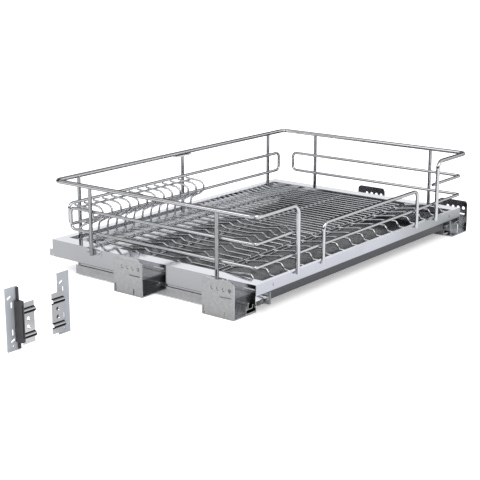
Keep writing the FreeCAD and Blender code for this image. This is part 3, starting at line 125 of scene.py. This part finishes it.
class Tree:
    """Node tree of a material or of the world, with short ways to add nodes."""

    def __init__(self, owner):
        owner.use_nodes = True
        self.nodes = owner.node_tree.nodes
        self.links = owner.node_tree.links
        self.shader = self.nodes.get("Principled BSDF")

    def feed(self, target, value):
        """Link a socket to an input, or set the input to a number or a colour."""
        if isinstance(value, bpy.types.NodeSocket):
            self.links.new(value, target)
        elif target.type == "RGBA":
            target.default_value = (*value, 1)
        else:
            target.default_value = value

    def add(self, kind, output, inputs, **settings):
        """Add a node with its settings and inputs, and give one of its outputs."""
        node = self.nodes.new(kind)
        for name, value in settings.items():
            setattr(node, name, value)
        for name, value in inputs.items():
            self.feed(node.inputs[name], value)
        return node.outputs[output]

    def arithmetic(self, operation, *values):
        """Join sockets or numbers with a math node."""
        return self.add("ShaderNodeMath", "Value", dict(enumerate(values)), operation=operation)

    def product(self, first, *others):
        for value in others:
            first = self.arithmetic("MULTIPLY", first, value)
        return first

    def greatest(self, first, *others):
        for value in others:
            first = self.arithmetic("MAXIMUM", first, value)
        return first

    def map_range(self, value, start, end, low=0.0, high=1.0, curve="LINEAR"):
        """Carry the values from start to end over to low to high, and hold them beyond."""
        inputs = {"Value": value, "From Min": start, "From Max": end, "To Min": low, "To Max": high}
        return self.add("ShaderNodeMapRange", "Result", inputs, interpolation_type=curve)

    def ramp(self, value, start, end):
        """Rise smoothly from 0 at the start to 1 at the end."""
        return self.map_range(value, start, end, curve="SMOOTHSTEP")

    def band(self, value, low, high, soft):
        """Give 1 where a value lies between two limits, with soft edges."""
        rise = self.map_range(value, low - soft, low + soft)
        fall = self.map_range(value, high + soft, high - soft)
        return self.product(rise, fall)

    def measure(self, vector, direction):
        """Give how far a vector reaches along a direction."""
        return self.add("ShaderNodeVectorMath", "Value", {0: vector, 1: direction},
                        operation="DOT_PRODUCT")

    def along(self, coordinates, direction):
        """Give how far a texture coordinate lies along a direction."""
        return self.measure(self.add("ShaderNodeTexCoord", coordinates, {}), direction)

    def light_path(self, kind):
        return self.add("ShaderNodeLightPath", kind, {})

    def noise(self, scale):
        """Give the value of a noise texture laid over object coordinates."""
        place = self.add("ShaderNodeTexCoord", "Object", {})
        inputs = {"Vector": place, "Scale": scale, "Detail": NOISE_DETAIL}
        return self.add("ShaderNodeTexNoise", "Fac", inputs)

    def mix(self, share, first, second):
        """Mix two colours or colour sockets."""
        return self.add("ShaderNodeMix", "Result", {"Factor": share, "A": first, "B": second},
                        data_type="RGBA")

    def level_share(self):
        """Give 1 on level faces and 0 on upright ones."""
        normal = self.add("ShaderNodeNewGeometry", "Normal", {})
        steep = self.arithmetic("ABSOLUTE", self.measure(normal, Z_AXIS))
        return self.ramp(steep, 0.0, 1.0)

    def roughen(self, grain, rough):
        """Spread the roughness of the shader around a value by a noise texture."""
        spread = rough * ROUGHNESS_SPREAD
        varied = self.map_range(grain, *NOISE_MIDDLE, rough - spread, rough + spread)
        self.feed(self.shader.inputs["Roughness"], varied)

    def tint(self, share, colour):
        """Blend the base colour of the shader towards a colour where the share is 1."""
        base = self.shader.inputs["Base Color"]
        self.feed(base, self.mix(share, base.links[0].from_socket, colour))

    def paint_pale_reflection(self, share):
        """Turn polished sheet pale, a painted reflection of the bright studio, and dull where the share
        is 1.
        """
        self.tint(share, PALE_REFLECTION_COLOUR)
        self.feed(self.shader.inputs["Metallic"], self.arithmetic("SUBTRACT", 1.0, share))


def make_camera():
    data = bpy.data.cameras.new("camera")
    data.sensor_width = CAMERA_SENSOR
    data.lens = CAMERA_LENS
    data.shift_x, data.shift_y = CAMERA_SHIFT
    data.clip_end = CAMERA_REACH
    camera = bpy.data.objects.new("camera", data)
    camera.location = CAMERA_PLACE
    camera.rotation_euler = (math.radians(90 - CAMERA_DIP), 0.0, math.radians(-CAMERA_HEADING))
    bpy.context.scene.collection.objects.link(camera)
    bpy.context.scene.camera = camera


# Materials

def shade(colour, factor):
    return tuple(min(1.0, part * factor) for part in colour)


def metal(name, flat, upright, rough, vary=0.06, edge=1.0, cloud=SHEET_CLOUD):
    """Sheet or wire whose tone differs between level and upright faces, a painted reflection, and
    clouds a little.
    """
    material = bpy.data.materials.new(name)
    tree = Tree(material)
    tree.feed(tree.shader.inputs["Metallic"], 1.0)
    tree.feed(tree.shader.inputs["Specular Tint"], (edge, edge, edge))
    # Level and upright faces take different tones: a painted reflection
    level = tree.level_share()
    dark = tree.mix(level, shade(upright, 1 - vary), shade(flat, 1 - vary))
    light = tree.mix(level, shade(upright, 1 + vary), shade(flat, 1 + vary))
    tree.feed(tree.shader.inputs["Base Color"], tree.mix(tree.noise(cloud), dark, light))
    tree.roughen(tree.noise(METAL_GRAIN), rough)
    return material


def plastic(name, light, dark, rough):
    """Moulded plastic with a fine grain."""
    material = bpy.data.materials.new(name)
    tree = Tree(material)
    grain = tree.noise(PLASTIC_GRAIN)
    tree.feed(tree.shader.inputs["Base Color"], tree.mix(tree.noise(PLASTIC_CLOUD), dark, light))
    tree.roughen(grain, rough)
    inputs = {"Strength": PLASTIC_BUMP, "Distance": PLASTIC_BUMP_HEIGHT, "Height": grain}
    tree.feed(tree.shader.inputs["Normal"], tree.add("ShaderNodeBump", "Normal", inputs))
    return material


def front_sheet():
    """Sheet of the front web, bluish, with a painted reflection that turns it grey towards its right
    end.
    """
    material = metal("front_sheet", (0.78, 0.80, 0.87), (0.78, 0.80, 0.88), 0.16)
    tree = Tree(material)
    tree.tint(tree.ramp(tree.along("Object", X_AXIS), *WEB_REFLECTION_FADE_X), WEB_REFLECTION_FADE_COLOUR)
    return material


def clip_steel():
    """Steel of the clip plates, with painted reflections: dark bands along the lower flank and the
    upper edge of each bead.
    """
    material = metal("clip_steel", (0.78, 0.79, 0.81), (0.80, 0.81, 0.83), 0.06)
    tree = Tree(material)
    height = tree.along("Object", Z_AXIS)
    bands = [tree.band(height, middle + low, middle + high, BEAD_SOFT)
             for middle in BEAD_MIDDLES for low, high in BEAD_REFLECTION_BANDS]
    tree.tint(tree.greatest(*bands), BEAD_REFLECTION_COLOUR)
    return material


def drip_sheet():
    """Dark sheet of the drip tray, whose rear rim is pale, a painted reflection, and dull."""
    material = metal("drip_sheet", (0.12, 0.125, 0.13), (0.135, 0.14, 0.15), 0.16)
    tree = Tree(material)
    tree.paint_pale_reflection(tree.ramp(tree.along("Object", Y_AXIS), *REAR_RIM_Y))
    return material


def back_sheet():
    """Sheet of the back web, whose bottom flange is pale, a painted reflection, and dull."""
    material = metal("back_sheet", TRAY_FLAT, TRAY_UPRIGHT, 0.07)
    tree = Tree(material)
    tree.paint_pale_reflection(tree.ramp(tree.along("Object", Z_AXIS), *BACK_FOOT_Z))
    return material


def satin_plate():
    """Half-dull sheet of the door plates."""
    material = metal("satin_plate", (0.37, 0.38, 0.41), (0.38, 0.40, 0.435), 0.45)
    tree = Tree(material)
    tree.feed(tree.shader.inputs["Metallic"], SATIN_METAL_SHARE)
    return material


def slot_materials():
    """Give the material of each slot of the record."""
    return {
        "polished_wire": metal("polished_wire", (0.88, 0.89, 0.91), (0.86, 0.87, 0.90), 0.06, edge=0.0),
        "tray_sheet": metal("tray_sheet", TRAY_FLAT, TRAY_UPRIGHT, 0.07),
        "front_sheet": front_sheet(),
        "drip_sheet": drip_sheet(),
        "bright_steel": metal("bright_steel", (0.80, 0.80, 0.82), (0.72, 0.72, 0.74), 0.16),
        "black_plastic": plastic("black_plastic", (0.050, 0.050, 0.054), (0.030, 0.030, 0.034), 0.42),
        "grey_plastic": plastic("grey_plastic", (0.20, 0.21, 0.22), (0.15, 0.155, 0.165), 0.45),
        "zinc_steel": metal("zinc_steel", (0.58, 0.59, 0.61), (0.80, 0.81, 0.82), 0.10, 0.24,
                            cloud=ZINC_MOTTLE),
        "clip_steel": clip_steel(),
        "cage_plastic": plastic("cage_plastic", (0.86, 0.86, 0.84), (0.78, 0.78, 0.76), 0.5),
        "roller_steel": metal("roller_steel", (0.82, 0.82, 0.84), (0.78, 0.78, 0.80), 0.12),
    }


def own_materials():
    """Give the materials of the nodes that differ from the rest of their slot."""
    plate = satin_plate()
    # Darker copy of the polished wire for the posts: painted shade for the dark reflections they show
    post = metal("shaded_post_wire", (0.56, 0.57, 0.58), (0.52, 0.53, 0.54), 0.06, edge=0.0)
    return {
        "door_plate_left": plate,
        "door_plate_right": plate,
        "frame_back": back_sheet(),
        "side_posts": post,
        "back_posts": post,
    }


def finish_nodes():
    """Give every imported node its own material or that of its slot."""
    of_slot = slot_materials()
    of_node = own_materials()
    for part in frame["record"]["subparts"]:
        data = nodes[part["node"]].data
        data.materials.clear()
        data.materials.append(of_node.get(part["node"], of_slot[part["material_slot"]]))


# Surroundings

def floor_patches(tree):
    """Give 1 on the dark patches of the floor, which stand in for flags around the rack."""
    inward = tree.along("Object", INWARD)
    rightward = tree.along("Object", RIGHTWARD)
    x = tree.along("Object", X_AXIS)
    y = tree.along("Object", Y_AXIS)
    corner = tree.product(tree.ramp(inward, *CORNER_INWARD),
                          tree.band(rightward, *CORNER_RIGHTWARD, CORNER_SOFT))
    behind = tree.ramp(inward, *BEHIND_INWARD)
    right = tree.product(tree.band(x, *RIGHT_X, RIGHT_SOFT), tree.ramp(y, *RIGHT_Y))
    left = tree.product(tree.band(x, *LEFT_X, LEFT_SOFT), tree.ramp(y, *LEFT_Y), LEFT_SHARE)
    return tree.greatest(corner, behind, right, left)


def floor_material():
    """Pale floor that glows a little for the camera and is darker in mirror images."""
    material = bpy.data.materials.new("floor")
    tree = Tree(material)
    inputs = tree.shader.inputs
    tree.feed(inputs["Roughness"], FLOOR_ROUGHNESS)
    tree.feed(inputs["Specular IOR Level"], 0.0)
    tree.feed(inputs["Emission Color"], WHITE)
    tree.feed(inputs["Emission Strength"], tree.product(tree.light_path("Is Camera Ray"), FLOOR_GLOW))
    dark = tree.map_range(floor_patches(tree), 0.0, 1.0, FLOOR_DARK_SHARE, 1.0)
    mirrored = tree.product(dark, tree.light_path("Is Glossy Ray"))
    tree.feed(inputs["Base Color"], tree.mix(mirrored, FLOOR_COLOUR, FLOOR_DARK))
    return material


def make_floor():
    data = bpy.data.meshes.new("floor")
    half = FLOOR_SIZE / 2
    corners = [(-half, -half, 0), (half, -half, 0), (half, half, 0), (-half, half, 0)]
    data.from_pydata(corners, [], [(0, 1, 2, 3)])
    data.materials.append(floor_material())
    floor = bpy.data.objects.new("floor", data)
    floor.location.z = -FLOOR_DROP
    bpy.context.scene.collection.objects.link(floor)


def make_world():
    """Even light, with a studio of windows and dark walls that only mirror images show."""
    world = bpy.data.worlds.new("studio")
    bpy.context.scene.world = world
    tree = Tree(world)
    height = tree.along("Generated", Z_AXIS)
    inward = tree.along("Generated", INWARD)
    rightward = tree.along("Generated", RIGHTWARD)
    front = tree.product(tree.band(height, *FRONT_HEIGHT, FRONT_HEIGHT_SOFT),
                         tree.ramp(inward, *FRONT_INWARD), FRONT_TONE)
    side = tree.product(tree.band(height, *SIDE_HEIGHT, SIDE_HEIGHT_SOFT),
                        tree.ramp(rightward, *SIDE_RIGHTWARD), SIDE_TONE)
    back = tree.product(tree.band(height, *BACK_HEIGHT, BACK_HEIGHT_SOFT),
                        tree.band(inward, *BACK_INWARD, BACK_INWARD_SOFT))
    ceiling = tree.product(tree.ramp(height, *CEILING_HEIGHT), CEILING_TONE)
    studio = tree.greatest(front, side, back, ceiling, WALL_TONE)
    glossy = tree.light_path("Is Glossy Ray")
    other = tree.arithmetic("SUBTRACT", 1.0, glossy)
    strength = tree.arithmetic("ADD", tree.product(glossy, studio), tree.product(other, WORLD_LIGHT))
    background = tree.nodes["Background"]
    tree.feed(background.inputs["Strength"], strength)
    tree.feed(background.inputs["Color"], WHITE)


def make_lamp(name, place, power):
    """Square lamp that looks at the middle of the floor."""
    data = bpy.data.lights.new(name, "AREA")
    data.shape = "SQUARE"
    data.size = LAMP_SIZE
    data.energy = power
    lamp = bpy.data.objects.new(name, data)
    lamp.location = place
    way = -Vector(place)
    lamp.rotation_euler = way.to_track_quat("-Z", "Y").to_euler()
    bpy.context.scene.collection.objects.link(lamp)


bpy.context.scene.view_settings.view_transform = "Standard"
make_camera()
make_world()
make_floor()
for lamp in LAMPS:
    make_lamp(*lamp)
finish_nodes()
